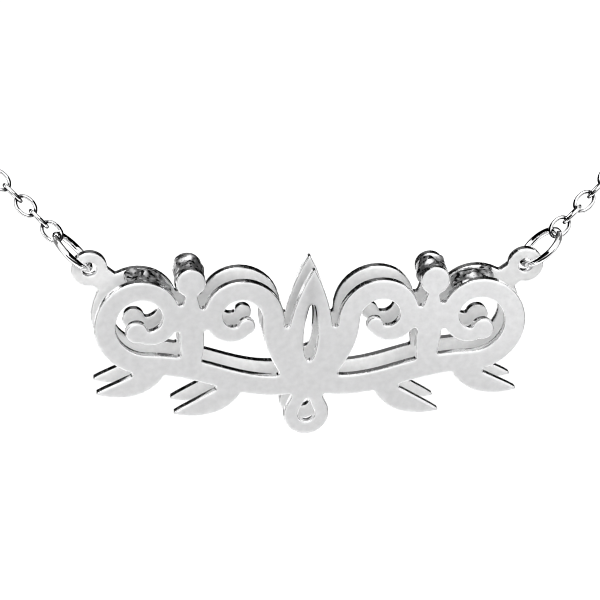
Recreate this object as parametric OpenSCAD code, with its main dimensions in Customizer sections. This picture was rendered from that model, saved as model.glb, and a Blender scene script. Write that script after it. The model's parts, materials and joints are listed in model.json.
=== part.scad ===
/* [Plates] */
// Width that the ornament's motifs are laid out in
plate_w = 39; // [37:0.5:44]
// Height of the ornament, from the foot of its drop to its middle tip
plate_h = 16; // [15:0.5:19]
// Thickness of each of the two plates
plate_t = 0.7; // [0.4:0.05:0.8]
// Gap between the front plate and the back plate
plate_gap = 2.3; // [2:0.1:3.5]
// Width of a scroll's stem where it leaves the middle
stem_w = 1.9; // [1.7:0.05:2.1]
// Diameter of the two round berries
berry_d = 2.6; // [2.2:0.1:3]
// Radius of the fillets in the ornament's inner corners
fillet_r = 0.25; // [0.2:0.01:0.3]

/* [Spacers] */
// How far a spacer's sides stay inside the edge of the plates
spacer_inset = 0.1; // [0.05:0.01:0.3]
// How far a spacer is soldered into each plate
solder_depth = 0.1; // [0.05:0.05:0.15]

/* [End eyes] */
// Diameter of the round eye at each end of the back plate
eye_d = 3.2; // [2.8:0.1:3.6]
// Distance from the edge of the outer scroll to the hole in the eye
eye_reach = 1.9; // [1.7:0.1:2.4]
// Width of the neck that carries an eye
neck_w = 2.1; // [1.6:0.1:2.6]
// Play of the jump ring's wire in the hole of its eye
eye_play = 0.65; // [0.45:0.05:0.7]

/* [Jump rings] */
// Outer diameter of the jump rings
jump_ring_d = 4.7; // [4.4:0.1:5.6]
// Wire diameter of the jump rings
jump_wire_d = 0.6; // [0.5:0.05:0.7]

/* [Chain] */
// Length of the closed necklace
necklace_l = 406; // [380:2:450]
// Outer length of a link
link_l = 2.36; // [2.2:0.02:2.6]
// Outer width of a link
link_w = 1.7; // [1.6:0.02:1.9]
// Wire diameter of a link
link_wire_d = 0.32; // [0.25:0.01:0.34]
// Gap left between two pieces that pull on each other
link_play = 0.12; // [0.12:0.01:0.15]

/* [Clasp] */
// Outer diameter of the clasp's ring
clasp_d = 5.6; // [5.2:0.1:6.5]
// Thickness of the clasp's ring
clasp_wire_d = 1.1; // [0.9:0.05:1.2]
// Outer diameter of the small loop on the clasp
loop_d = 2.3; // [2.1:0.1:2.8]
// Wire diameter of the small loop on the clasp
loop_wire_d = 0.5; // [0.4:0.05:0.6]
// Diameter of the thumb knob on the clasp
knob_d = 0.8; // [0.6:0.1:1]
// Outer diameter of the ring that the clasp closes on
end_ring_d = 3.7; // [3.5:0.1:4.4]
// Wire diameter of the ring that the clasp closes on
end_wire_d = 0.5; // [0.4:0.05:0.6]

/* [Hang] */
// Angle of the chain to the eyes' line where it leaves the plate
leave_angle = 45; // [42:1:50]
// Slope of the loop at the plate
front_slope = 65; // [55:1:70]
// Slope of the loop at the nape
nape_slope = 15; // [5:1:25]

/* [Hidden] */
$fn = 32;
silver = [0.82, 0.82, 0.83];

// Fineness of the ornament's outline
arc_step = 9;
stem_steps = 14;
leaf_steps = 12;
round_fn = 36;
tip_fn = 14;
fillet_fn = 16;

// Form of the ornament's strokes: how far a stem's handles reach, how much a
// coil thins to its end, the width of a leaf's tip, and its skew and swell
stem_pull = 0.42;
coil_taper = 0.4;
tip_w = 0.3;
leaf_skew = 0.8;
leaf_swell = 0.85;

// Scrolls of the right half: columns of their table. Places are shares of
// half the plate's width and of its height, radii and balls shares of its height.
START_X = 0;
START_Z = 1;
LEAD = 2;
CENTRE_X = 3;
CENTRE_Z = 4;
R_FIRST = 5;
R_LAST = 6;
FROM = 7;
TURN = 8;
BALL = 9;
outer_scroll = [0.000, 0.325, -14, 0.752, 0.700, 0.262, 0.082, -90, 394, 0.122];
inner_scroll = [0.040, 0.300, 62, 0.338, 0.712, 0.202, 0.074, 180, -318, 0.094];

// Leaves of the right half: foot and tip as shares of half the width and of
// the height, width and lean as shares of the height.
FOOT_X = 0;
FOOT_Z = 1;
TIP_X = 2;
TIP_Z = 3;
WIDE = 4;
LEAN = 5;
bud = [0.530, 0.360, 0.555, 0.930, 0.119, 0];
leaves = [
    bud,
    [0.300, 0.310, 0.600, 0.140, 0.106, -0.031],
    [0.660, 0.400, 0.955, 0.265, 0.100, -0.028]];
middle_leaf = [0, 0.290, 0, 0.990, 0.231, 0];
middle_slit = [0, 0.450, 0, 0.800, 0.060, 0];

// Pierced drop in the middle, as shares of the height
drop_r = 0.125;
drop_hole_r = 0.047;
drop_top = 0.400;
drop_hole_top = 0.240;

// Stretch of the outer scroll that its spacer follows, and where the eye stands
spacer_from = 62;
spacer_to = 128;
eye_angle = 38;

function spot(x, z) = [x * plate_w / 2, z * plate_h];
function unit(v) = v / norm(v);
function left_of(v) = [-v[1], v[0]];
function toward(a) = [cos(a), sin(a)];
function bezier(a, b, c, d, n) = [for (i = [0 : n])
    let (t = i / n, u = 1 - t)
    a * u * u * u + b * 3 * u * u * t + c * 3 * u * t * t + d * t * t * t];

// Point of a scroll's coil after a turn of so many degrees
function coil_r(row, turned) = plate_h *
    (row[R_FIRST] + (row[R_LAST] - row[R_FIRST]) * turned / abs(row[TURN]));
function coil_point(row, turned) = spot(row[CENTRE_X], row[CENTRE_Z]) +
    coil_r(row, turned) * toward(row[FROM] + sign(row[TURN]) * turned);
function coil(row, first, last) = let (n = round((last - first) / arc_step))
    [for (i = [0 : n]) coil_point(row, first + (last - first) * i / n)];

// Stem that runs from the middle into the coil
function stem(row) =
    let (a = spot(row[START_X], row[START_Z]), d = coil_point(row, 0))
    let (way = left_of(toward(row[FROM])) * sign(row[TURN]), reach = norm(d - a) * stem_pull)
    bezier(a, a + toward(row[LEAD]) * reach, d - way * reach, d, stem_steps);
function coil_w(row, turned) = stem_w * (1 - coil_taper * pow(turned / abs(row[TURN]), 2));
function coil_widths(row, first, last) = let (n = round((last - first) / arc_step))
    [for (i = [0 : n]) coil_w(row, first + (last - first) * i / n)];

function heading(line, i) = unit(line[min(i + 1, len(line) - 1)] - line[max(i - 1, 0)]);
function sides(line, widths) = [for (i = [0 : len(line) - 1])
    left_of(heading(line, i)) * widths[i] / 2];

module ribbon(line, widths) {
    edge = sides(line, widths);
    for (i = [0 : len(line) - 2])
        polygon([line[i] + edge[i], line[i + 1] + edge[i + 1],
            line[i + 1] - edge[i + 1], line[i] - edge[i]]);
}

module scroll(row) {
    turn = abs(row[TURN]);
    stalk = stem(row);
    ribbon(stalk, [for (p = stalk) stem_w]);
    ribbon(coil(row, 0, turn), coil_widths(row, 0, turn));
    translate(coil_point(row, turn)) circle(d = row[BALL] * plate_h, $fn = round_fn);
}

module leaf(row) {
    foot = spot(row[FOOT_X], row[FOOT_Z]);
    tip = spot(row[TIP_X], row[TIP_Z]);
    lean = left_of(unit(tip - foot)) * row[LEAN] * plate_h;
    line = [for (i = [0 : leaf_steps])
        foot + (tip - foot) * i / leaf_steps + lean * sin(180 * i / leaf_steps)];
    ribbon(line, [for (i = [0 : leaf_steps])
        tip_w + row[WIDE] * plate_h * pow(sin(180 * pow(i / leaf_steps, leaf_skew)), leaf_swell)]);
    translate(tip) circle(d = tip_w, $fn = tip_fn);
}

module drop(r, top) {
    centre = spot(0, drop_r);
    point = spot(0, top);
    touch = acos(r / (point[1] - centre[1]));
    translate(centre) circle(r = r, $fn = round_fn);
    polygon([centre + r * toward(90 + touch), point, centre + r * toward(90 - touch)]);
}

berry = spot(bud[TIP_X], bud[TIP_Z]);
module half() {
    scroll(outer_scroll);
    scroll(inner_scroll);
    for (row = leaves) leaf(row);
    translate(berry) circle(d = berry_d, $fn = round_fn);
}

module middle() {
    difference() {
        leaf(middle_leaf);
        leaf(middle_slit);
    }
    difference() {
        drop(drop_r * plate_h, drop_top);
        drop(drop_hole_r * plate_h, drop_hole_top);
    }
}

// Place of the hole in the right eye, in the ornament's own plane
eye_turn = eye_angle - outer_scroll[FROM];
eye_root = coil_point(outer_scroll, eye_turn);
eye = eye_root + (coil_w(outer_scroll, eye_turn) / 2 + eye_reach) * toward(eye_angle);
eye_hole_d = jump_wire_d + eye_play;

module end_eye() {
    translate(eye) circle(d = eye_d, $fn = round_fn);
    ribbon([eye_root, eye], [neck_w, neck_w]);
}

// One plate's outline, with both eyes on the back plate alone
module outline(eyes) {
    offset(r = -fillet_r, $fn = fillet_fn) offset(delta = fillet_r) {
        middle();
        for (side = [0, 1]) mirror([side, 0]) {
            half();
            if (eyes) end_eye();
        }
    }
}

module front_plate() {
    translate([0, 0, plate_t / 2 + plate_gap]) linear_extrude(plate_t) outline(false);
}

module back_plate() {
    difference() {
        translate([0, 0, -plate_t / 2]) linear_extrude(plate_t) outline(true);
        for (side = [-1, 1]) translate([side * eye[0], eye[1], -plate_t])
            cylinder(d = eye_hole_d, h = 2 * plate_t);
    }
}

// Spacers: a post behind each berry and a curved strip on each outer scroll
spacer_z = plate_t / 2 - solder_depth;
spacer_h = plate_gap + 2 * solder_depth;

module post() {
    translate([berry[0], berry[1], spacer_z]) cylinder(d = berry_d - 2 * spacer_inset, h = spacer_h);
}

module strip() {
    first = spacer_from - outer_scroll[FROM];
    stop = spacer_to - outer_scroll[FROM];
    line = coil(outer_scroll, first, stop);
    last = len(line) - 1;
    edge = sides(line, [for (w = coil_widths(outer_scroll, first, stop)) w - 2 * spacer_inset]);
    translate([0, 0, spacer_z]) linear_extrude(spacer_h)
        polygon(concat([for (i = [0 : last]) line[i] + edge[i]],
            [for (i = [last : -1 : 0]) line[i] - edge[i]]));
}

// Where each piece sits along the chain's run, measured from the eye's hole
function hooked(wire_a, wire_b) = wire_a + wire_b + link_play;
jump_r = (jump_ring_d - jump_wire_d) / 2;
pitch = link_l - hooked(link_wire_d, link_wire_d);
first_link = jump_r + jump_ring_d / 2 - hooked(jump_wire_d, link_wire_d) + link_l / 2;
function link_at(i) = first_link + i * pitch;
function run_end(count) = link_at(count - 1) + link_l / 2;

// The clasp's small loop stands on its ring, and bites into it a little
loop_bite = 0.15;
loop_at = (clasp_d + loop_d - loop_wire_d) / 2 - loop_bite;
clasp_after = loop_d / 2 + loop_at - hooked(link_wire_d, loop_wire_d);
end_ring_after = clasp_d / 2 + end_ring_d / 2 - hooked(clasp_wire_d, end_wire_d);
chain_after = end_ring_d / 2 - hooked(end_wire_d, link_wire_d);
closure = clasp_after + end_ring_after + chain_after;

// The first link lies flat, the last right one lies flat and the last left
// one stands, so the right count is odd and the left one even.
spare_run = necklace_l - 2 * eye[0] - closure - 2 * run_end(0);
half_count = round((spare_run / pitch - 1) / 2);
right_count = half_count + (half_count % 2 == 0 ? 1 : 0);
left_count = 2 * half_count + 1 - right_count;
half_run = (run_end(right_count) + run_end(left_count) + closure) / 2;

// The loop laid flat: a straight run from each eye, then one arc round the nape
round_r = (half_run * cos(leave_angle) + eye[0]) /
    (sin(leave_angle) + (180 - leave_angle) * PI / 180 * cos(leave_angle));
straight = (round_r * sin(leave_angle) - eye[0]) / cos(leave_angle);
centre_q = straight * sin(leave_angle) + round_r * cos(leave_angle);
reach_q = centre_q + round_r;

function way_at(s) = leave_angle + max(0, s - straight) / round_r * 180 / PI;
function flat_at(s) = s < straight ?
    [eye[0] + s * cos(leave_angle), s * sin(leave_angle)] :
    [round_r * sin(way_at(s)), centre_q - round_r * cos(way_at(s))];

// The loop lies on an arched surface that is steep at the plate and gets
// flatter toward the nape, where the part's origin is.
arch_r = reach_q / ((front_slope - nape_slope) * PI / 180);
function slope_at(q) = front_slope - (front_slope - nape_slope) * q / reach_q;
function hung(x, slope) = [x,
    arch_r * (sin(nape_slope) - sin(slope)), arch_r * (cos(slope) - cos(nape_slope))];
function place_at(s) = let (p = flat_at(s)) hung(p[0], slope_at(p[1]));
plate_place = hung(0, front_slope);

// A stiff piece that spans some length stands on the arc's chord
module along(s, roll, span = 0) {
    sagitta = round_r - sqrt(round_r * round_r - span * span / 4);
    translate(place_at(s)) rotate([slope_at(flat_at(s)[1]), 0, 0])
        rotate([0, 0, way_at(s)]) translate([0, sagitta, 0]) rotate([roll, 0, 0]) children();
}

module wire_ring(d, wire_d) {
    rotate_extrude() translate([(d - wire_d) / 2, 0]) circle(d = wire_d);
}

bend_r = (link_w - link_wire_d) / 2;
flat_l = link_l - link_w;
module link() {
    for (side = [0, 1]) mirror([side, 0, 0]) translate([flat_l / 2, 0, 0]) rotate([0, 0, -90])
        rotate_extrude(angle = 180) translate([bend_r, 0]) circle(d = link_wire_d);
    for (side = [-1, 1]) translate([-flat_l / 2, side * bend_r, 0])
        rotate([0, 90, 0]) cylinder(d = link_wire_d, h = flat_l);
}

module links(count) {
    for (i = [0 : count - 1]) along(link_at(i), 90 * (i % 2)) link();
}

// A jump ring stands square to the plates, in line with the chain's pull
jump_roll = atan2(-sin(front_slope), cos(front_slope) * cos(leave_angle));
module jump_ring() {
    along(jump_r, jump_roll) wire_ring(jump_ring_d, jump_wire_d);
}

module nameplate() {
    color(silver) translate(plate_place) rotate([90, 0, 0]) translate([0, -eye[1], 0]) {
        front_plate();
        back_plate();
        for (side = [0, 1]) mirror([side, 0, 0]) {
            post();
            strip();
        }
    }
}

module jump_ring_left() {
    color(silver) mirror([1, 0, 0]) jump_ring();
}

module jump_ring_right() {
    color(silver) jump_ring();
}

module chain_left() {
    color(silver) mirror([1, 0, 0]) links(left_count);
}

module chain_right() {
    color(silver) links(right_count);
}

clasp_at = run_end(right_count) + clasp_after;
clasp_ahead = clasp_d / 2 - clasp_wire_d;
clasp_behind = loop_at + loop_d / 2 - loop_wire_d;
clasp_middle = (clasp_ahead - clasp_behind) / 2;
module end_ring() {
    color(silver) along(clasp_at + end_ring_after, 0) wire_ring(end_ring_d, end_wire_d);
}

module clasp() {
    color(silver) along(clasp_at + clasp_middle, 90, clasp_ahead + clasp_behind)
        translate([-clasp_middle, 0, 0]) {
            wire_ring(clasp_d, clasp_wire_d);
            translate([-loop_at, 0, 0]) wire_ring(loop_d, loop_wire_d);
            translate([0, (clasp_d - clasp_wire_d) / 2, 0]) rotate([-90, 0, 0])
                cylinder(d = knob_d, h = clasp_wire_d / 2 + knob_d);
        }
}

nameplate();
jump_ring_left();
jump_ring_right();
chain_left();
chain_right();
end_ring();
clasp();
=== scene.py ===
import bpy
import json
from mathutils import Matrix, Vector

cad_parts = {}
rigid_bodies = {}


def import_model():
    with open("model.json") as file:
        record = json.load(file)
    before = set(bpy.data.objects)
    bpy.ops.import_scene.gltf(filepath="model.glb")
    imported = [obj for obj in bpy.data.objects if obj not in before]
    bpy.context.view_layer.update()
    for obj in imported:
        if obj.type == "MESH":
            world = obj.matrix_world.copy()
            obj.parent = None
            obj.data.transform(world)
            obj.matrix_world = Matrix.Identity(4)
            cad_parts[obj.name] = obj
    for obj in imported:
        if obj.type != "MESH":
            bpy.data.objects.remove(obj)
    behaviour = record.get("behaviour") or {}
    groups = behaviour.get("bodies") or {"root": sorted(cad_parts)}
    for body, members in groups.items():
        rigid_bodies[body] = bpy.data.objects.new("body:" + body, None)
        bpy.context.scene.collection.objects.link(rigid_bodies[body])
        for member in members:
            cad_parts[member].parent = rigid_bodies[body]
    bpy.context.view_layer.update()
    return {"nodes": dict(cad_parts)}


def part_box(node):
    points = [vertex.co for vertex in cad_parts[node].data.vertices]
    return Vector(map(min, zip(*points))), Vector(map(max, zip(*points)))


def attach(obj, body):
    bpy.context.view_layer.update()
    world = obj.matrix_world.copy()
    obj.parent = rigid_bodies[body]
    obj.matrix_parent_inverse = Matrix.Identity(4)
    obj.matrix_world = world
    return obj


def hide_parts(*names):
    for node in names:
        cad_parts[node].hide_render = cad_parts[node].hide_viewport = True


bl_info = {
    "name": "Double-plate Silver Necklace",
    "version": (1, 0, 0),
    "blender": (4, 5, 0),
    "location": "3D View > Sidebar > Necklace",
    "description": "Dresses the necklace: satin plates, solder, rings, cable chain, clasp and studio",
    "category": "Object",
}

import json
import math

import bmesh
import bpy
import numpy as np
from mathutils import Euler, Matrix, Vector

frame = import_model()
MM = 0.001
BODY = "root"
SATIN_SLOT = "satin_silver"
POLISHED_SLOT = "polished_silver"

# Points closer than this are one, points this near a plane lie on it, and a face whose
# normal has this much of a direction looks that way.
MERGE = 0.0005 * MM
ON_PLANE = 0.01 * MM
FLAT_ON = 0.99

# What a finish's pattern makes of its roughness: the least and the most, as shares of it.
SAWN_RANGE = (0.5, 1.5)
WIRE_RANGE = (0.6, 1.5)
SOLDER_RANGE = (0.4, 1.3)

# The cuts on a sawn edge run through the thickness, so their pattern is drawn out along Y.
CUT_STRETCH = (1, 0.15, 1)
# The satin turns paler to the right and 2.5 times as fast upwards, from this far to the
# right of the plates' middle.
PALE_WAY = (1, 0, 2.5)
PALE_START = 3 * MM
# A painted dark reflection, a black spot on the solder, is black where its noise is under the first
# value, and gone over the second.
PIT_EDGE = (0.34, 0.37)
# The smears on the solder beside the size of its painted black spots.
SMEAR_SIZE = 0.8
# How strongly the painted shade in the links' bends takes in its faintest and darkest patches, and
# their size beside the draw marks.
TARNISH_STRENGTH = (0.5, 2.5)
TARNISH_PATCH = 2
# The painted shade ends this far from where neighbouring links touch and fades over this width, in
# wire thicknesses.
TARNISH_REACH = 1.5
TARNISH_FADE = 0.5
# How far the spacers' own faces lie inside the gap between the plates.
SPACER_CLEAR = 0.1 * MM


def size(name, description, default, smallest=0.0):
    """A length in metres that a user can change."""
    return bpy.props.FloatProperty(
        name=name, description=description, default=default, min=smallest, precision=5,
        unit="LENGTH", subtype="DISTANCE")


def share(name, description, default):
    """A number from 0 to 1 that a user can change."""
    return bpy.props.FloatProperty(
        name=name, description=description, default=default, min=0, max=1, subtype="FACTOR")


def number(name, description, default):
    """A number of no unit that a user can change."""
    return bpy.props.FloatProperty(name=name, description=description, default=default, min=0)


def whole(name, description, default, smallest):
    """A whole number that a user can change."""
    return bpy.props.IntProperty(
        name=name, description=description, default=default, min=smallest)


def angle(name, description, degrees):
    """An angle that a user can change, given here in degrees."""
    return bpy.props.FloatProperty(
        name=name, description=description, default=math.radians(degrees), subtype="ANGLE")


def colour(name, description, default):
    """A colour that a user can change."""
    return bpy.props.FloatVectorProperty(
        name=name, description=description, default=default, size=3, min=0, max=1,
        subtype="COLOR")


class PlateSettings(bpy.types.PropertyGroup):
    edge_round: size("Edge rounding", "Radius that the plates' edges are polished to", 0.07 * MM)
    silver: colour("Satin silver", "Colour of the plates' outer faces", (0.93, 0.93, 0.935))
    # Painted light: a little lighter than the outer faces' colour, for the light that reaches little
    # between the plates.
    inner_silver: colour("Inner silver", "Colour of the plates' inner faces", (0.94, 0.94, 0.94))
    roughness: share("Satin roughness", "How softly the outer faces reflect", 0.58)
    inner_roughness: share("Inner roughness", "How softly the inner faces reflect", 0.65)
    grain: size("Grain size", "Size of the satin finish's grain", 0.16 * MM)
    grain_height: size("Grain height", "Height of the satin finish's grain", 0.006 * MM)
    grain_contrast: share("Grain contrast", "How far the grain varies the roughness", 0.05)
    cloud: size("Cloud size", "Size of the faint clouds in the satin", 0.6 * MM)
    cloud_shade: share("Cloud shade", "Brightness of the clouds beside the face", 0.92)
    worn: size("Worn edge", "Width of the faces' border that handling has softened", 0.5 * MM)
    paler: share("Pale corner", "How much rougher, and so paler, the upper right is", 0.09)
    pale_reach: size("Pale reach", "How far it takes the satin to turn pale", 22 * MM)
    edge_roughness: share("Edge roughness", "How softly the sawn edges reflect", 0.2)
    cut: size("Cut width", "Width of the fine cuts on the sawn edges", 0.12 * MM)
    cut_depth: size("Cut depth", "Depth of the fine cuts on the sawn edges", 0.004 * MM)


class SolderSettings(bpy.types.PropertyGroup):
    lump: size("Lump height", "How far the solder swells and sinks", 0.6 * MM)
    lump_size: size("Lump size", "Size of the swellings in the solder", 1.0 * MM)
    sunk: share("Sunk share", "Share of the lumps' height that sinks in", 0.4)
    cell: size("Cell size", "Size of the faces that the solder is shaped with", 0.09 * MM)
    melt: whole("Melting", "How many times the solder's corners are smoothed", 16, 0)
    sink: size("Sink", "How far the solder reaches into each plate", 0.3 * MM)
    silver: colour("Solder silver", "Colour of the clean solder", (0.5, 0.5, 0.505))
    roughness: share("Solder roughness", "How softly the clean solder reflects", 0.45)
    smear_height: size("Smear height", "Height of the smears on the solder", 0.02 * MM)
    # Painted reflection: black spots in the solder's colour, of this size and colour, stand in for
    # dark surroundings that the lumps reflect.
    pit: size("Dark spot size", "Size of the dark pits", 0.42 * MM)
    flux: colour("Painted dark reflection", "Colour of the dark pits", (0.01, 0.01, 0.011))


class WireSettings(bpy.types.PropertyGroup):
    silver: colour("Polished silver", "Colour of the polished wire", (0.93, 0.93, 0.935))
    roughness: share("Polish", "Roughness of the polished wire", 0.05)
    draw_mark: size("Draw mark size", "Size of the faint marks on the wire", 0.1 * MM)
    mark_height: size("Draw mark height", "Height of the faint marks on the wire", 0.001 * MM)
    # Painted shade: a near-black colour laid into the links' bends where they touch.
    tarnish: colour("Tarnish", "Colour of the tarnish where links touch", (0.02, 0.02, 0.022))
    link_oval: number("Oval", "Form of a link: 1 is an ellipse, less has straighter sides", 0.75)
    link_sides: whole("Wire sides", "Sides of a link's wire", 6, 6)
    link_steps: whole("Link steps", "Steps round a link", 12, 10)
    near_links: whole("Near links", "Links by each jump ring with a rounder form", 12, 0)
    near_sides: whole("Near wire sides", "Sides of a near link's wire", 10, 6)
    near_steps: whole("Near link steps", "Steps round a near link", 24, 10)


class StudioSettings(bpy.types.PropertyGroup):
    azimuth: angle("Azimuth", "Camera's turn to the object's right", -9.3)
    elevation: angle("Elevation", "Camera's height above the horizon", 25)
    roll: angle("Roll", "Camera's turn about its own line of sight", 3.3)
    distance: size("Distance", "From the camera to the plates", 350 * MM)
    frame_width: size("Frame width", "Width of the view at the plates", 53.0 * MM)
    aim_side: size("Aim aside", "How far the aim is off the plates' middle", -0.7 * MM, -1)
    aim_up: size("Aim up", "How far the aim is over the eyes' line", -2.85 * MM, -1)
    floor_drop: size("Floor drop", "From the plates' foot to the floor", 120 * MM)
    floor: colour("Floor", "Colour of the floor", (0.9, 0.9, 0.9))
    sky: number("Sky", "Strength of the white tent's light", 1.0)
    key: number("Key light", "Power of the lamp overhead, in watts", 2.0)
    crisp: number("Crispness", "Width of the picture's filter in pixels, less is crisper", 1.0)
    glint: number("Glint limit", "Brightest that one ray may be, so that glints leave the "
                  "wire's outlines clear", 1.1)


FLOOR_SIZE = 8
FLOOR_ROUGHNESS = 0.9
LAMP_PLACE = (-0.15, -0.1, 0.45)
LAMP_SIZE = 0.3
NEAREST_VIEW = 0.01

# The studio's cards are seen by reflections alone. Far cards: name, azimuth and elevation
# from the eyes, degrees across, degrees upright and glow. The black ones draw the dark
# lines on edges and wire, the grey ones set the tone of level edges and of the front
# faces, and the white one lights the back plate where it shows behind the front one.
CARD_DISTANCE = 0.2
FAR_CARDS = (
    ("black_flag_left", 180 + 30, 14, 34, 44, 0.0),
    ("black_flag_right", 180 - 30, 14, 34, 44, 0.0),
    ("grey_card_back", 180, 28, 24, 30, 0.12),
    ("grey_card_front", 9, -29, 110, 78, 0.03),
    ("white_card_front", 0, 30, 100, 44, 3.0))

# A black card that stands edge on in the middle, in line with the camera, which both
# chains reflect. Its middle is given from the eyes, as are those of the next two.
MIDDLE_CARD = {"y": -64 * MM, "z": 42 * MM, "length": 290 * MM, "height": 32 * MM}
# A light card before the back wall's foot, for the back view, and a grey one that lies on
# the floor behind and draws the lower outlines of the wire.
BACK_CARD = {"y": 265 * MM, "z": -70 * MM, "wide": 560 * MM, "high": 120 * MM, "glow": 1.7}
FLOOR_CARD = {"y": 145 * MM, "z": -128 * MM, "wide": 600 * MM, "deep": 236 * MM, "glow": 0.36}

# The three walls of a booth round the chain, in two rows: name, foot and top above the
# eyes, and glow.
BOOTH = {"y": 140 * MM, "wide": 640 * MM, "deep": 260 * MM}
BOOTH_WALLS = (
    ("dark_walls", -10 * MM, 570 * MM, 0.2),
    ("low_walls", -130 * MM, -10 * MM, 0.26))


def settings(name):
    """The group of settings that the scene holds under a name."""
    return getattr(bpy.context.scene, name)


def deselect():
    """Leaves nothing selected, the frame's own nodes included."""
    for obj in bpy.context.view_layer.objects:
        obj.select_set(False)


def activate(obj):
    """Selects obj alone and makes it the one that operators act on."""
    deselect()
    obj.select_set(True)
    bpy.context.view_layer.objects.active = obj


def named(name):
    """The object that an operator has just added, under its own name."""
    obj = bpy.context.active_object
    obj.name = obj.data.name = name
    return obj


def edit(obj):
    """Opens obj in edit mode with nothing selected."""
    activate(obj)
    bpy.ops.object.mode_set(mode="EDIT")
    bpy.ops.mesh.select_mode(type="FACE")
    bpy.ops.mesh.select_all(action="DESELECT")


def object_mode():
    """Leaves edit mode."""
    bpy.ops.object.mode_set(mode="OBJECT")


def pick(obj, test, elements="faces"):
    """Selects the faces or vertices of the mesh in edit mode that pass a test."""
    mesh = bmesh.from_edit_mesh(obj.data)
    for item in getattr(mesh, elements):
        item.select_set(test(item))
    mesh.select_flush_mode()
    bmesh.update_edit_mesh(obj.data)


def settle(obj):
    """Puts obj's place into its mesh, so that its object sits at the origin."""
    activate(obj)
    bpy.ops.object.transform_apply(location=True, rotation=True, scale=True)


def modify(obj, kind, **values):
    """Adds a modifier with these values and applies it."""
    activate(obj)
    modifier = obj.modifiers.new(kind.title(), kind)
    for key, value in values.items():
        setattr(modifier, key, value)
    bpy.ops.object.modifier_apply(modifier=modifier.name)


def copy_of_node(node, name):
    """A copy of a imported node's mesh under a new name, with its doubles merged."""
    obj = bpy.data.objects.new(name, frame["nodes"][node].data.copy())
    obj.data.name = name
    obj.data.materials.clear()
    bpy.context.scene.collection.objects.link(obj)
    edit(obj)
    bpy.ops.mesh.select_all(action="SELECT")
    bpy.ops.mesh.customdata_custom_splitnormals_clear()
    bpy.ops.mesh.remove_doubles(threshold=MERGE)
    object_mode()
    return obj


def keep_faces(obj, test):
    """Deletes every face that fails a test, and what hung on it."""
    edit(obj)
    pick(obj, lambda face: not test(face))
    bpy.ops.mesh.delete(type="FACE")
    object_mode()


def finish_piece(obj, slot, *nodes):
    """Joins obj to the necklace's body and hides the nodes that it replaces. Its slot is not used."""
    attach(obj, BODY)
    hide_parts(*nodes)


def add_node(tree, kind, **values):
    """A shader node whose named inputs and settings get these values."""
    made = tree.nodes.new(kind)
    for key, value in values.items():
        if key in made.inputs:
            made.inputs[key].default_value = value
        else:
            setattr(made, key, value)
    return made


def new_metal(silver, roughness):
    """A metal with its colour and roughness on the shader's own sockets."""
    material = bpy.data.materials.new("metal")
    material.use_nodes = True
    tree = material.node_tree
    shader = tree.nodes["Principled BSDF"]
    shader.inputs["Base Color"].default_value = (*silver, 1)
    shader.inputs["Metallic"].default_value = 1
    shader.inputs["Roughness"].default_value = roughness
    return material, tree, shader


def noise_on(tree, feature, detail=2.0, stretch=(1, 1, 1)):
    """A noise on Object coordinates whose features are about this big, in metres."""
    place = add_node(tree, "ShaderNodeTexCoord")
    mapping = add_node(tree, "ShaderNodeMapping", Scale=stretch)
    noise = add_node(tree, "ShaderNodeTexNoise", Scale=1 / feature, Detail=detail)
    tree.links.new(place.outputs["Object"], mapping.inputs["Vector"])
    tree.links.new(mapping.outputs["Vector"], noise.inputs["Vector"])
    return noise.outputs["Fac"]


def ranged(tree, source, low, high, start=0.3, stop=0.7):
    """Maps a noise's middle stretch, or another one, to a range of values."""
    made = add_node(tree, "ShaderNodeMapRange")
    for key, value in (("From Min", start), ("From Max", stop), ("To Min", low), ("To Max", high)):
        made.inputs[key].default_value = value
    tree.links.new(source, made.inputs["Value"])
    return made.outputs["Result"]


def varied(tree, shader, source, roughness, shares):
    """Lets a noise vary the roughness between two shares of it."""
    low, high = (part * roughness for part in shares)
    tree.links.new(ranged(tree, source, low, high), shader.inputs["Roughness"])


def bumped(tree, shader, source, height):
    """Raises the surface by a noise, to a height in metres."""
    made = add_node(tree, "ShaderNodeBump", Strength=1, Distance=height)
    tree.links.new(source, made.inputs["Height"])
    tree.links.new(made.outputs["Normal"], shader.inputs["Normal"])
    return made


def mixed(tree, source, first, second):
    """A colour between two colours, by a value from 0 to 1."""
    made = add_node(tree, "ShaderNodeMix", data_type="RGBA")
    made.inputs[6].default_value = (*first, 1)
    made.inputs[7].default_value = (*second, 1)
    tree.links.new(source, made.inputs[0])
    return made.outputs[2]


def calculated(tree, operation, first, second):
    """The sum or product of two values."""
    made = add_node(tree, "ShaderNodeMath", operation=operation)
    tree.links.new(first, made.inputs[0])
    tree.links.new(second, made.inputs[1])
    return made.outputs[0]


def toward_corner(tree, paler):
    """A value that grows from 0 toward the plates' upper right corner."""
    low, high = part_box("nameplate")
    way = Vector(PALE_WAY)
    start = way.dot((low + high) / 2) + PALE_START
    place = add_node(tree, "ShaderNodeTexCoord")
    along = add_node(tree, "ShaderNodeVectorMath", operation="DOT_PRODUCT")
    along.inputs[1].default_value = way
    tree.links.new(place.outputs["Object"], along.inputs[0])
    stop = start + settings("plate_settings").pale_reach
    return ranged(tree, along.outputs["Value"], 0, paler, start, stop)


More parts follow.
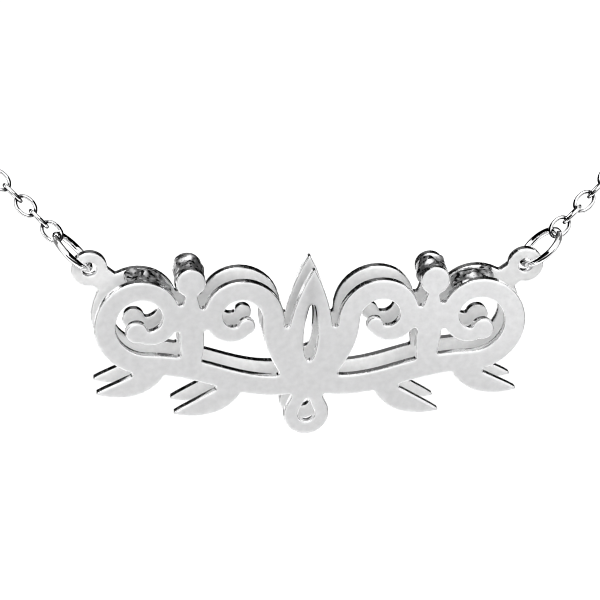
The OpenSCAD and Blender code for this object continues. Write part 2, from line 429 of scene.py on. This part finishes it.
def plate_face(silver, roughness, paler):
    """A soft, fine grain with faint clouds, and a border that handling has softened."""
    plates = settings("plate_settings")
    material, tree, shader = new_metal(silver, roughness)
    grain = noise_on(tree, plates.grain, 3)
    cloud = noise_on(tree, plates.cloud, 2)
    dim = [part * plates.cloud_shade for part in silver]
    tree.links.new(mixed(tree, ranged(tree, cloud, 0, 1), dim, silver),
                   shader.inputs["Base Color"])
    grainy = ranged(
        tree, grain, roughness - plates.grain_contrast, roughness + plates.grain_contrast)
    tree.links.new(calculated(tree, "ADD", grainy, toward_corner(tree, paler)),
                   shader.inputs["Roughness"])
    bump = bumped(tree, shader, grain, plates.grain_height)
    worn = add_node(tree, "ShaderNodeBevel", Radius=plates.worn, samples=8)
    tree.links.new(worn.outputs["Normal"], bump.inputs["Normal"])
    return material


def satin_outer_face():
    """The plates' outer faces, brushed satin."""
    plates = settings("plate_settings")
    return plate_face(plates.silver, plates.roughness, plates.paler)


def matt_inner_face():
    """The plates' inner faces, matt because no brush has reached them, and a little lighter in colour
    than the outer faces: painted light, for the light that reaches little between the plates."""
    plates = settings("plate_settings")
    return plate_face(plates.inner_silver, plates.inner_roughness, 0)


def sawn_edge():
    """The plates' sawn edges: polished over fine cuts through the thickness."""
    plates = settings("plate_settings")
    material, tree, shader = new_metal(plates.silver, plates.edge_roughness)
    cuts = noise_on(tree, plates.cut, 3, CUT_STRETCH)
    varied(tree, shader, cuts, plates.edge_roughness, SAWN_RANGE)
    bumped(tree, shader, cuts, plates.cut_depth)
    return material


def polished_wire():
    """Bright wire with faint marks from drawing and tumbling, and painted shade, a near-black colour,
    in the bends where links touch, as an attribute of the links says how much."""
    wire = settings("wire_settings")
    material, tree, shader = new_metal(wire.silver, wire.roughness)
    marks = noise_on(tree, wire.draw_mark, 2)
    tarnish = add_node(tree, "ShaderNodeAttribute", attribute_name="tarnish")
    patches = ranged(tree, noise_on(tree, TARNISH_PATCH * wire.draw_mark), *TARNISH_STRENGTH)
    patchy = calculated(tree, "MULTIPLY", tarnish.outputs["Fac"], patches)
    # Painted shade: the wire's colour turns near-black in the bends where links touch.
    tree.links.new(mixed(tree, patchy, wire.silver, wire.tarnish), shader.inputs["Base Color"])
    varied(tree, shader, marks, wire.roughness, WIRE_RANGE)
    bumped(tree, shader, marks, wire.mark_height)
    return material


def mottled_solder():
    """Lumpy solder, grey and mottled, with black spots painted into its colour: painted reflections
    of dark surroundings.
    """
    solder = settings("solder_settings")
    material, tree, shader = new_metal(solder.silver, solder.roughness)
    # Painted reflection: black spots mixed into the solder's colour.
    pits = ranged(tree, noise_on(tree, solder.pit, 0), 1, 0, *PIT_EDGE)
    smear = noise_on(tree, SMEAR_SIZE * solder.pit, 1)
    tree.links.new(mixed(tree, pits, solder.silver, solder.flux), shader.inputs["Base Color"])
    varied(tree, shader, smear, solder.roughness, SOLDER_RANGE)
    bumped(tree, shader, smear, solder.smear_height)
    return material


def material_of(make):
    """The material that a function makes, made once and named after it."""
    found = bpy.data.materials.get(make.__name__)
    if found is None:
        found = make()
        found.name = make.__name__
    return found


def plate_planes():
    """The planes of the plates' four faces, from the front one to the back one."""
    faces = frame["nodes"]["nameplate"].data.polygons
    return sorted({round(face.center.y, 6) for face in faces if abs(face.normal.y) > FLAT_ON})


def face_of_nameplate(name, plane, outward):
    """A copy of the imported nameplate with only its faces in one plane."""
    obj = copy_of_node("nameplate", name)
    keep_faces(obj, lambda face: face.normal.y * outward > FLAT_ON
               and abs(face.calc_center_median().y - plane) < ON_PLANE)
    return obj


def border_only(obj):
    """Leaves a flat face's border edges alone."""
    edit(obj)
    bpy.ops.mesh.select_all(action="SELECT")
    bpy.ops.mesh.region_to_loop()
    bpy.ops.mesh.select_all(action="INVERT")
    bpy.ops.mesh.delete(type="EDGE")
    bpy.ops.mesh.select_all(action="SELECT")
    bpy.ops.mesh.delete(type="ONLY_FACE")
    object_mode()


def thicken(obj, plane, inner):
    """Makes a border into a plate with rounded edges, as a filled flat curve."""
    edge_round = settings("plate_settings").edge_round
    laid_flat = Matrix.Rotation(math.radians(-90), 4, "X") @ Matrix.Translation((0, -plane, 0))
    obj.data.transform(laid_flat)
    activate(obj)
    bpy.ops.object.convert(target="CURVE")
    obj.data.dimensions = "2D"
    obj.data.fill_mode = "BOTH"
    obj.data.extrude = abs(plane - inner) / 2 - edge_round
    obj.data.bevel_depth = edge_round
    obj.data.bevel_resolution = 2
    obj.data.offset = -edge_round
    bpy.ops.object.convert(target="MESH")

    obj.rotation_euler = Euler((math.radians(90), 0, 0))
    obj.location.y = (plane + inner) / 2
    settle(obj)
    edit(obj)
    bpy.ops.mesh.select_all(action="SELECT")
    bpy.ops.mesh.remove_doubles(threshold=MERGE)
    bpy.ops.mesh.normals_make_consistent(inside=False)
    object_mode()


def polish_plate(obj, outward):
    """Gives a plate its satin outer face, sawn rim and matt inner face, in this order."""
    for make in (satin_outer_face, sawn_edge, matt_inner_face):
        obj.data.materials.append(material_of(make))
    edit(obj)
    bpy.ops.mesh.select_all(action="SELECT")
    bpy.ops.mesh.faces_shade_smooth()
    pick(obj, lambda face: abs(face.normal.y) > FLAT_ON)
    bpy.ops.mesh.faces_shade_flat()
    pick(obj, lambda face: abs(face.normal.y) <= FLAT_ON)
    obj.active_material_index = 1
    bpy.ops.object.material_slot_assign()
    pick(obj, lambda face: face.normal.y * outward < -FLAT_ON)
    obj.active_material_index = 2
    bpy.ops.object.material_slot_assign()
    object_mode()
    modify(obj, "WEIGHTED_NORMAL", keep_sharp=True)


def cut_plate(name, plane, inner, outward):
    """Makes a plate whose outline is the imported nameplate's face in one plane. Outward
    is 1 for a plate that looks to +Y and -1 for one that looks to -Y."""
    obj = face_of_nameplate(name, plane, outward)
    border_only(obj)
    thicken(obj, plane, inner)
    polish_plate(obj, outward)
    finish_piece(obj, SATIN_SLOT, "nameplate")


class NECKLACE_OT_plates(bpy.types.Operator):
    """Cuts the front plate and the back plate, with polished rims round satin faces"""

    bl_idname = "necklace.plates"
    bl_label = "Plates"

    def execute(self, context):
        front, inner_front, inner_back, back = plate_planes()
        cut_plate("front_plate", front, inner_front, -1)
        cut_plate("back_plate", back, inner_back, 1)
        return {"FINISHED"}


def open_tubes(inner_front, inner_back):
    """The spacers' walls between the plates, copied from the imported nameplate."""
    obj = copy_of_node("nameplate", "spacers")
    keep_faces(obj, lambda face: inner_front + SPACER_CLEAR < face.calc_center_median().y
               < inner_back - SPACER_CLEAR)
    return obj


def close_tubes(obj, planes, sink):
    """Draws the tubes' ends into both plates and closes them."""
    edit(obj)
    for plane, way in zip(planes, (-1, 1)):
        bpy.ops.mesh.select_all(action="DESELECT")
        pick(obj, lambda vert: abs(vert.co.y - plane) < ON_PLANE, "verts")
        bpy.ops.transform.translate(value=(0, way * sink, 0))
    bpy.ops.mesh.select_all(action="SELECT")
    bpy.ops.mesh.fill_holes(sides=0)
    bpy.ops.mesh.select_all(action="SELECT")
    bpy.ops.mesh.normals_make_consistent(inside=False)
    object_mode()


def melt(obj):
    """Gives the solder even small cells, rounded corners and then swellings."""
    solder = settings("solder_settings")
    modify(obj, "REMESH", mode="VOXEL", voxel_size=solder.cell)
    modify(obj, "SMOOTH", factor=0.5, iterations=solder.melt)
    lumps = bpy.data.textures.new("solder_lumps", "CLOUDS")
    lumps.noise_scale = solder.lump_size
    lumps.noise_depth = 0
    modify(obj, "DISPLACE", texture=lumps, strength=solder.lump, mid_level=solder.sunk)
    activate(obj)
    bpy.ops.object.shade_smooth()


class NECKLACE_OT_solder(bpy.types.Operator):
    """Shapes the lumpy solder posts and strips that hold the plates apart"""

    bl_idname = "necklace.solder"
    bl_label = "Solder"

    def execute(self, context):
        _, inner_front, inner_back, _ = plate_planes()
        obj = open_tubes(inner_front, inner_back)
        close_tubes(obj, (inner_front, inner_back), settings("solder_settings").sink)
        melt(obj)
        obj.data.materials.append(material_of(mottled_solder))
        finish_piece(obj, SATIN_SLOT, "nameplate")
        return {"FINISHED"}


def loose_parts(mesh):
    """The points of each loose part of a mesh, once its doubles are merged."""
    points = np.zeros(len(mesh.vertices) * 3, np.float32)
    mesh.vertices.foreach_get("co", points)
    points = points.reshape(-1, 3)
    ends = np.zeros(len(mesh.edges) * 2, np.int32)
    mesh.edges.foreach_get("vertices", ends)
    same, merged = np.unique(points, axis=0, return_inverse=True)
    first, second = merged.reshape(-1)[ends].reshape(-1, 2).T
    label = np.arange(len(same))
    while True:
        lowest = np.minimum(label[first], label[second])
        new = label.copy()
        np.minimum.at(new, first, lowest)
        np.minimum.at(new, second, lowest)
        new = new[new]
        if (new == label).all():
            break
        label = new
    return [same[label == part].astype(float) for part in np.unique(label)]


def measured(points):
    """The place of a flat ring or link and its length, width and thickness: a matrix
    with its long way as X and its thin way as Z, and its extent along each."""
    axes = np.linalg.svd(points - points.mean(0), full_matrices=False)[2]
    if np.linalg.det(axes) < 0:
        axes[2] *= -1
    along = points @ axes.T
    low, high = along.min(0), along.max(0)
    place = Matrix.Translation((low + high) / 2 @ axes) @ Matrix(axes.T.tolist()).to_4x4()
    return place, high - low


def model_link(extent, sides, steps):
    """An oval link of round wire: a ring drawn out step by step toward its ends. Its
    few-sided wire is made fuller, so that it has a round wire's section area."""
    oval = settings("wire_settings").link_oval
    length, width, thick = extent
    corner = math.tau / sides
    fuller = math.sqrt(corner / math.sin(corner))
    deselect()
    bpy.ops.mesh.primitive_torus_add(
        major_segments=steps, minor_segments=sides,
        major_radius=(width - thick) / 2, minor_radius=thick / 2 * fuller)
    link = named("link_model")
    on_loop = thick / 50
    edit(link)
    bpy.ops.mesh.select_mode(type="VERT")
    for step in range(steps):
        turn = step * math.tau / steps
        pull = math.copysign(abs(math.cos(turn)) ** oval, math.cos(turn))
        across = Vector((-math.sin(turn), math.cos(turn), 0))
        outward = Vector((math.cos(turn), math.sin(turn), 0))
        bpy.ops.mesh.select_all(action="DESELECT")
        pick(link, lambda vert: not vert.tag and abs(vert.co.dot(across)) < on_loop
             and vert.co.dot(outward) > 0, "verts")
        for vert in bmesh.from_edit_mesh(link.data).verts:
            vert.tag = vert.tag or vert.select
        bpy.ops.transform.translate(value=(pull * (length - width) / 2, 0, 0))
    object_mode()
    activate(link)
    bpy.ops.object.shade_smooth()
    tarnish_bends(link, length, thick)
    return link


def tarnish_bends(link, length, thick):
    """Notes how much painted shade each point of a link gets: fully at the inner side of its two
    ends, where its neighbours touch, and less and less away from there."""
    tarnish = link.data.attributes.new("tarnish", "FLOAT", "POINT")
    for side in (-1, 1):
        rubbed = Vector((side * (length / 2 - thick), 0, 0))
        for vert in link.data.vertices:
            away = (vert.co - rubbed).length / thick
            dark = min(max((TARNISH_REACH - away) / TARNISH_FADE, 0), 1)
            point = tarnish.data[vert.index]
            point.value = max(point.value, dark)


def set_links(places):
    """Copies of the link in its places, from the lowest up, of which those by the jump
    ring are rounder."""
    wire = settings("wire_settings")
    extent = places[0][1]
    near = model_link(extent, wire.near_sides, wire.near_steps)
    far = model_link(extent, wire.link_sides, wire.link_steps)
    copies = []
    for count, (place, _) in enumerate(places):
        link = near if count < wire.near_links else far
        copy = bpy.data.objects.new("link", link.data.copy())
        bpy.context.scene.collection.objects.link(copy)
        copy.data.transform(place)
        copies.append(copy)
    bpy.data.objects.remove(near)
    bpy.data.objects.remove(far)
    return copies


class NECKLACE_OT_chain(bpy.types.Operator):
    """Models one oval link and sets a copy in each place of the two chain sides"""

    bl_idname = "necklace.chain"
    bl_label = "Chain"

    def execute(self, context):
        for side in ("chain_left", "chain_right"):
            places = [measured(part) for part in loose_parts(frame["nodes"][side].data)]
            places.sort(key=lambda found: found[0].translation.z)
            copies = set_links(places)
            activate(copies[0])
            for copy in copies:
                copy.select_set(True)
            bpy.ops.object.join()
            obj = named(side + "_links")
            obj.data.materials.clear()
            obj.data.materials.append(material_of(polished_wire))
            finish_piece(obj, POLISHED_SLOT, side)
        return {"FINISHED"}


class NECKLACE_OT_fittings(bpy.types.Operator):
    """Polishes the jump rings, the end ring and the clasp"""

    bl_idname = "necklace.fittings"
    bl_label = "Rings and clasp"

    def execute(self, context):
        for name in ("jump_ring_left", "jump_ring_right", "end_ring", "clasp"):
            for slot in frame["nodes"][name].material_slots:
                slot.material = material_of(polished_wire)
        return {"FINISHED"}


def card(name, centre, facing, wide, high, strength, tilt=0):
    """Sets a card that only reflections see: its middle, the way that it faces, its
    width, its height, how strongly it glows and its turn in its own plane."""
    deselect()
    bpy.ops.mesh.primitive_plane_add(size=1)
    obj = named(name)
    obj.scale = (wide, high, 1)
    turn = facing.to_track_quat("Z", "Y").to_matrix() @ Matrix.Rotation(tilt, 3, "Z")
    obj.rotation_euler = turn.to_euler()
    obj.location = centre
    settle(obj)
    reflected_only(obj, strength)


def walls(name, eyes, foot, top, strength):
    """Sets three walls round the chain that only reflections see, open at the front."""
    middle = eyes + Vector((0, BOOTH["y"], (foot + top) / 2))
    deselect()
    bpy.ops.mesh.primitive_cube_add(size=1, location=middle)
    obj = named(name)
    obj.scale = (BOOTH["wide"], BOOTH["deep"], top - foot)
    settle(obj)
    keep_faces(obj, lambda face: face.normal.y > -FLAT_ON and abs(face.normal.z) < FLAT_ON)
    reflected_only(obj, strength)


def reflected_only(obj, strength):
    """Gives obj a plain glow and hides it from all but reflections."""
    material = bpy.data.materials.new(obj.name)
    material.use_nodes = True
    tree = material.node_tree
    tree.nodes.clear()
    glow = add_node(tree, "ShaderNodeEmission", Strength=strength)
    out = add_node(tree, "ShaderNodeOutputMaterial")
    tree.links.new(glow.outputs[0], out.inputs[0])
    obj.data.materials.append(material)
    obj.visible_camera = False
    obj.visible_diffuse = False
    obj.visible_shadow = False


def spread(degrees):
    """Width of a far card that covers so many degrees."""
    return 2 * CARD_DISTANCE * math.tan(math.radians(degrees) / 2)


def direction(azimuth, elevation):
    """The way toward a point seen at an azimuth from the front and an elevation."""
    return Vector((math.sin(azimuth) * math.cos(elevation),
                   -math.cos(azimuth) * math.cos(elevation), math.sin(elevation)))


def lay_floor(studio, height):
    """Lays the pale floor at a height."""
    deselect()
    bpy.ops.mesh.primitive_plane_add(size=FLOOR_SIZE, location=(0, 0, height))
    floor = named("floor")
    settle(floor)
    material = bpy.data.materials.new("pale_floor")
    material.use_nodes = True
    shader = material.node_tree.nodes["Principled BSDF"]
    shader.inputs["Base Color"].default_value = (*studio.floor, 1)
    shader.inputs["Roughness"].default_value = FLOOR_ROUGHNESS
    floor.data.materials.append(material)


def hang_tent(studio, eyes):
    """Hangs the white tent of light, and the lamp overhead that looks at the eyes."""
    world = bpy.data.worlds.new("white_tent")
    bpy.context.scene.world = world
    world.use_nodes = True
    background = world.node_tree.nodes["Background"]
    background.inputs["Color"].default_value = (1, 1, 1, 1)
    background.inputs["Strength"].default_value = studio.sky

    bpy.ops.object.light_add(type="AREA", location=LAMP_PLACE)
    lamp = named("key_lamp")
    lamp.data.shape = "DISK"
    lamp.data.size = LAMP_SIZE
    lamp.data.energy = studio.key
    lamp.rotation_euler = (eyes - lamp.location).to_track_quat("-Z", "Y").to_euler()


def set_cards(studio, eyes):
    """Sets the cards and the booth round the necklace."""
    for name, azimuth, elevation, across, upright, strength in FAR_CARDS:
        away = direction(math.radians(azimuth), math.radians(elevation))
        card(name, eyes + away * CARD_DISTANCE, -away, spread(across), spread(upright),
             strength)
    card("black_card_middle", eyes + Vector((0, MIDDLE_CARD["y"], MIDDLE_CARD["z"])),
         Vector((1, 0, 0)), MIDDLE_CARD["length"], MIDDLE_CARD["height"], 0,
         -studio.elevation)
    card("light_card_back", eyes + Vector((0, BACK_CARD["y"], BACK_CARD["z"])),
         Vector((0, -1, 0)), BACK_CARD["wide"], BACK_CARD["high"], BACK_CARD["glow"])
    card("grey_card_floor", eyes + Vector((0, FLOOR_CARD["y"], FLOOR_CARD["z"])),
         Vector((0, 0, 1)), FLOOR_CARD["wide"], FLOOR_CARD["deep"], FLOOR_CARD["glow"])
    for name, foot, top, strength in BOOTH_WALLS:
        walls(name, eyes, foot, top, strength)


def set_camera(studio, eyes):
    """Sets the camera at the photo's angle, and how its picture is developed."""
    bpy.ops.object.camera_add()
    camera = named("camera")
    back = direction(studio.azimuth, studio.elevation)
    turn = (-back).to_track_quat("-Z", "Y").to_matrix() @ Matrix.Rotation(studio.roll, 3, "Z")
    aim = eyes + turn.col[0] * studio.aim_side + turn.col[1] * studio.aim_up
    camera.location = aim + back * studio.distance
    camera.rotation_euler = turn.to_euler()
    camera.data.lens = camera.data.sensor_width * studio.distance / studio.frame_width
    camera.data.clip_start = NEAREST_VIEW
    scene = bpy.context.scene
    scene.camera = camera
    scene.view_settings.view_transform = "Standard"
    scene.cycles.filter_width = studio.crisp
    scene.cycles.sample_clamp_direct = studio.glint


class NECKLACE_OT_studio(bpy.types.Operator):
    """Sets the pale floor, the white tent with its dark cards, the lamp and the camera"""

    bl_idname = "necklace.studio"
    bl_label = "Studio"

    def execute(self, context):
        studio = settings("studio_settings")
        low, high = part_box("nameplate")
        eyes = Vector((0, high.y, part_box("jump_ring_left")[0].z))
        lay_floor(studio, low.z - studio.floor_drop)
        hang_tent(studio, eyes)
        set_cards(studio, eyes)
        set_camera(studio, eyes)
        return {"FINISHED"}


OPERATORS = (NECKLACE_OT_plates, NECKLACE_OT_solder, NECKLACE_OT_chain, NECKLACE_OT_fittings,
             NECKLACE_OT_studio)
GROUPS = {"plate_settings": PlateSettings, "solder_settings": SolderSettings,
          "wire_settings": WireSettings, "studio_settings": StudioSettings}


class NECKLACE_PT_panel(bpy.types.Panel):
    """Lists the necklace's sizes and colours and the steps that dress it"""

    bl_label = "Necklace"
    bl_idname = "NECKLACE_PT_panel"
    bl_space_type = "VIEW_3D"
    bl_region_type = "UI"
    bl_category = "Necklace"

    def draw(self, context):
        for name in GROUPS:
            box = self.layout.box()
            for key in GROUPS[name].__annotations__:
                box.prop(getattr(context.scene, name), key)
        for operator in OPERATORS:
            self.layout.operator(operator.bl_idname)


CLASSES = (*GROUPS.values(), *OPERATORS, NECKLACE_PT_panel)


def register():
    """Adds the classes to Blender and the settings to its scenes."""
    for cls in CLASSES:
        bpy.utils.register_class(cls)
    for name, group in GROUPS.items():
        setattr(bpy.types.Scene, name, bpy.props.PointerProperty(type=group))


def unregister():
    """Takes the settings and the classes away again."""
    for name in GROUPS:
        delattr(bpy.types.Scene, name)
    for cls in reversed(CLASSES):
        bpy.utils.unregister_class(cls)


def main():
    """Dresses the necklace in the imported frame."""
    register()
    bpy.ops.necklace.plates()
    bpy.ops.necklace.solder()
    bpy.ops.necklace.chain()
    bpy.ops.necklace.fittings()
    bpy.ops.necklace.studio()


if __name__ == "__main__":
    main()
